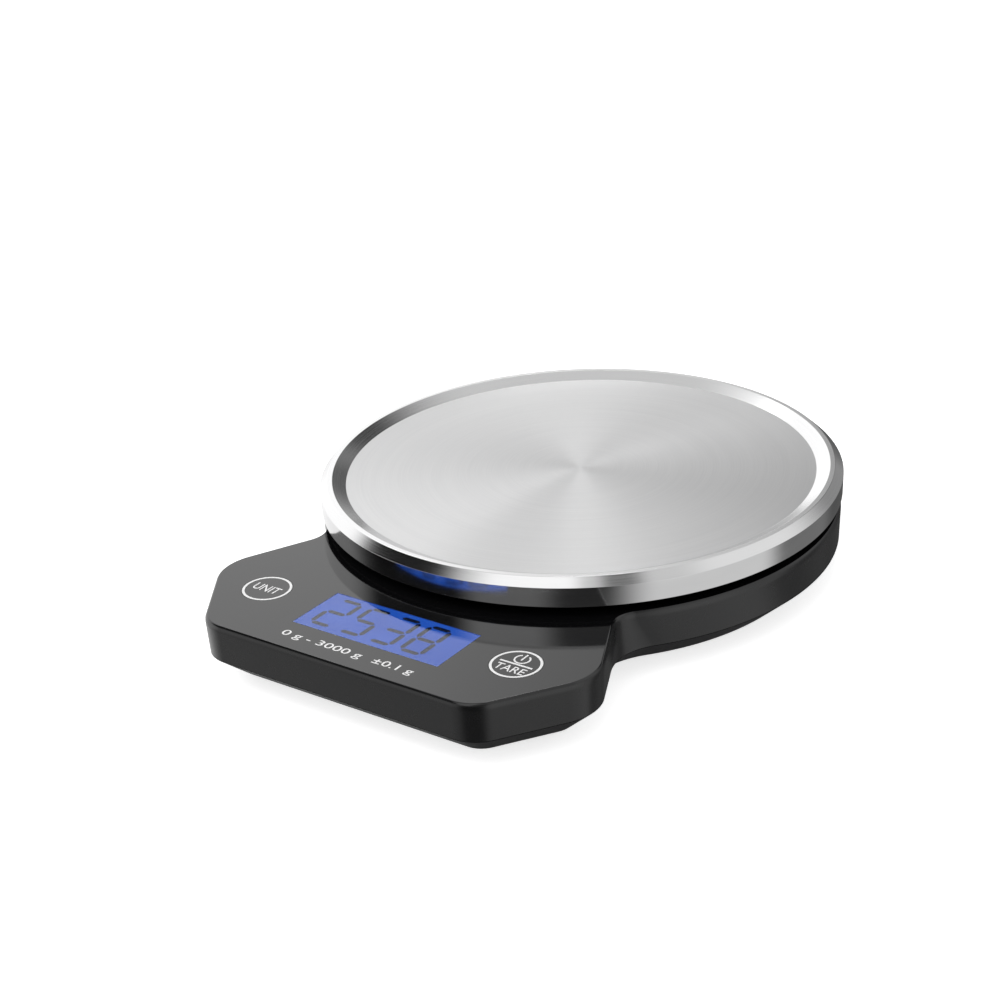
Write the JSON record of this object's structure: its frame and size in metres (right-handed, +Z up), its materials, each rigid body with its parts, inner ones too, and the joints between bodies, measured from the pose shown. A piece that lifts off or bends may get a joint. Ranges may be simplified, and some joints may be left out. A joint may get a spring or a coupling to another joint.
{
  "type": "digital kitchen scale",
  "caption": "Round stainless weighing plate on a slim glossy black base, whose front widens into a six-sided panel with a display window and round keys.",
  "frame": {"origin": "centre of the whole object's footprint, on the plane that its feet stand on", "axes": "+Z up out of the weighing plate, -Y towards the user and the display, +X to the user's right"},
  "size_m": [0.16, 0.2014, 0.032],
  "materials": {
    "gloss_black": "polished black plastic",
    "matte_black": "fine moulded texture",
    "steel": "concentric spun brushing",
    "window": "clear polished acrylic",
    "display": "lit blue liquid crystal",
    "diffuser": "translucent white",
    "board_green": "solder mask",
    "ivory_plastic": "moulded",
    "aluminium": "milled",
    "zinc": "zinc plated steel",
    "rubber": "matt",
    "silicone": "translucent silicone",
    "cell_wrap": "plain printed sleeve",
    "red_wire": "insulated lead",
    "black_wire": "insulated lead",
    "grey_cable": "insulated cable"
  },
  "bodies": {
    "base": {"upper_shell": "gloss_black", "lower_shell": "matte_black", "display_window": "window", "display_glass": "display", "display_backlight": "diffuser", "display_frame": "matte_black", "circuit_board": "board_green", "controller_chip": "matte_black", "battery_socket": "ivory_plastic", "load_cell_socket": "ivory_plastic", "load_cell": "aluminium", "strain_gauge_cover": "silicone", "load_cell_cable": "grey_cable", "battery_wire_red": "red_wire", "battery_wire_black": "black_wire", "battery_cell_1": "cell_wrap", "battery_cell_2": "cell_wrap", "spring_contact_1": "zinc", "spring_contact_2": "zinc", "bridge_contact": "zinc", "plus_contact": "zinc", "minus_contact": "zinc", "unit_switch": "matte_black", "tare_switch": "matte_black", "housing_screw_1": "zinc", "housing_screw_2": "zinc", "housing_screw_3": "zinc", "housing_screw_4": "zinc", "housing_screw_5": "zinc", "housing_screw_6": "zinc", "board_screw_1": "zinc", "board_screw_2": "zinc", "board_screw_3": "zinc", "board_screw_4": "zinc", "load_cell_bolt_1": "zinc", "load_cell_bolt_2": "zinc", "foot_1": "rubber", "foot_2": "rubber", "foot_3": "rubber", "foot_4": "rubber"},
    "load_platform": {"platform_carrier": "matte_black", "carrier_bolt_1": "zinc", "carrier_bolt_2": "zinc", "grip_pad_1": "silicone", "grip_pad_2": "silicone", "grip_pad_3": "silicone", "grip_pad_4": "silicone"},
    "plate": {"weighing_plate": "steel"},
    "unit_button": {"unit_key": "gloss_black", "unit_switch_plunger": "ivory_plastic"},
    "tare_button": {"tare_key": "gloss_black", "tare_switch_plunger": "ivory_plastic"},
    "door": {"battery_door": "matte_black"}
  },
  "joints": [
    {"name": "weighing_travel", "type": "slide", "parent": "base", "child": "load_platform", "axis": [0, 0, 1], "range_m": [-0.0006, 0], "stiffness_N_per_m": 49000, "springref_m": 0.0001, "deforming": ["load_cell"]},
    {"name": "plate_lift", "type": "slide", "parent": "load_platform", "child": "plate", "axis": [0, 0, 1], "range_m": [0, 0.03]},
    {"name": "unit_key_press", "type": "slide", "parent": "base", "child": "unit_button", "axis": [0, 0, 1], "range_m": [-0.0003, 0], "stiffness_N_per_m": 3000, "springref_m": 0.0001},
    {"name": "tare_key_press", "type": "slide", "parent": "base", "child": "tare_button", "axis": [0, 0, 1], "range_m": [-0.0003, 0], "stiffness_N_per_m": 3000, "springref_m": 0.0001},
    {"name": "battery_door_hinge", "type": "hinge", "parent": "base", "child": "door", "pos_m": [0, 0.07135, 0.0016], "axis": [1, 0, 0], "range_deg": [0, 80]}
  ]
}
